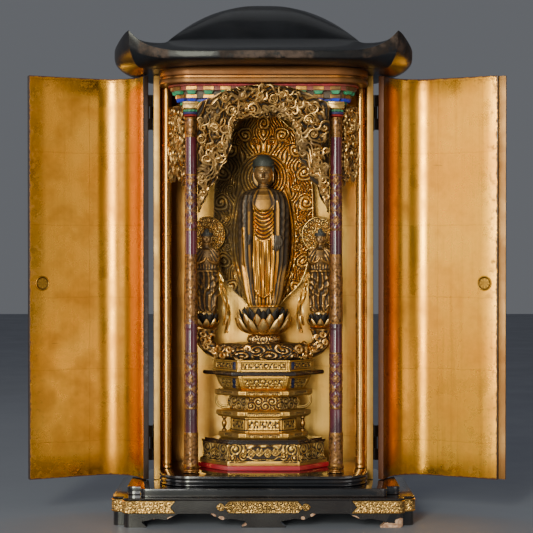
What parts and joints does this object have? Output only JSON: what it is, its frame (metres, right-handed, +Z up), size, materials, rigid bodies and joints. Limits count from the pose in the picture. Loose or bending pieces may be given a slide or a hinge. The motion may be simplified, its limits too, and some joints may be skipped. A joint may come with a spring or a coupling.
{
  "type": "buddhist home altar",
  "caption": "Black-lacquered, gilt-lined shrine cabinet on a stepped base under an upturned roof, its hinged doors open on a carved standing figure with attendants on a tiered dais.",
  "frame": {"origin": "on the floor under the middle of the base", "axes": "+Z up, the front faces -Y, +X to the viewer's right when looking at the front"},
  "size_m": [0.6427, 0.242, 0.6863],
  "materials": {
    "lacquer": "gloss black lacquer",
    "column_lacquer": "dark red lacquer with gilt patterned bands",
    "red_lacquer": "red lacquer",
    "gilt": "gold leaf over lacquer",
    "worn_gilt": "carved and gilded, worn dark in the recesses",
    "painted": "painted and gilded",
    "robe": "carved, gilded and darkened",
    "metalwork": "aged and engraved"
  },
  "bodies": {
    "case": {"amida_figure": "robe", "back_wall": "gilt", "bracket_frieze": "painted", "capital_left": "painted", "capital_right": "painted", "carved_arch": "worn_gilt", "ceiling_board": "worn_gilt", "cloud_bank": "worn_gilt", "column_left": "column_lacquer", "column_right": "column_lacquer", "corner_plate_left": "metalwork", "corner_plate_right": "metalwork", "cornice": "worn_gilt", "dais_bowl": "worn_gilt", "dais_box": "worn_gilt", "dais_drum": "worn_gilt", "dais_lower_plate": "gilt", "dais_middle_plate": "gilt", "dais_plinth": "worn_gilt", "dais_post_left": "gilt", "dais_post_right": "gilt", "dais_upper_plate": "gilt", "dais_waist": "worn_gilt", "dais_wide_plate": "lacquer", "floor_platform": "lacquer", "front_plaque": "metalwork", "hinge_left_bottom_wall_leaf": "metalwork", "hinge_left_top_wall_leaf": "metalwork", "hinge_right_bottom_wall_leaf": "metalwork", "hinge_right_top_wall_leaf": "metalwork", "left_attendant": "worn_gilt", "left_attendant_halo": "gilt", "left_attendant_lotus": "worn_gilt", "lotus": "worn_gilt", "lotus_neck": "worn_gilt", "mandorla": "worn_gilt", "middle_tier": "lacquer", "plinth": "lacquer", "red_plate": "red_lacquer", "right_attendant": "worn_gilt", "right_attendant_halo": "gilt", "right_attendant_lotus": "worn_gilt", "roof": "lacquer", "side_carving_left": "worn_gilt", "side_carving_right": "worn_gilt", "side_column_left": "gilt", "side_column_right": "gilt", "side_wall_left": "gilt", "side_wall_right": "gilt"},
    "door_left": {"door_left_panel": "gilt", "door_left_pull": "metalwork", "hinge_left_bottom_door_leaf": "metalwork", "hinge_left_top_door_leaf": "metalwork"},
    "door_right": {"door_right_meeting_strip": "lacquer", "door_right_panel": "gilt", "door_right_pull": "metalwork", "hinge_right_bottom_door_leaf": "metalwork", "hinge_right_top_door_leaf": "metalwork"}
  },
  "joints": [
    {"name": "left_door_hinge", "type": "hinge", "parent": "case", "child": "door_left", "pos_m": [-0.151, -0.013, 0.322], "axis": [0, 0, 1], "range_deg": [-15, 155]},
    {"name": "right_door_hinge", "type": "hinge", "parent": "case", "child": "door_right", "pos_m": [0.151, -0.013, 0.322], "axis": [0, 0, 1], "range_deg": [-155, 15]}
  ]
}
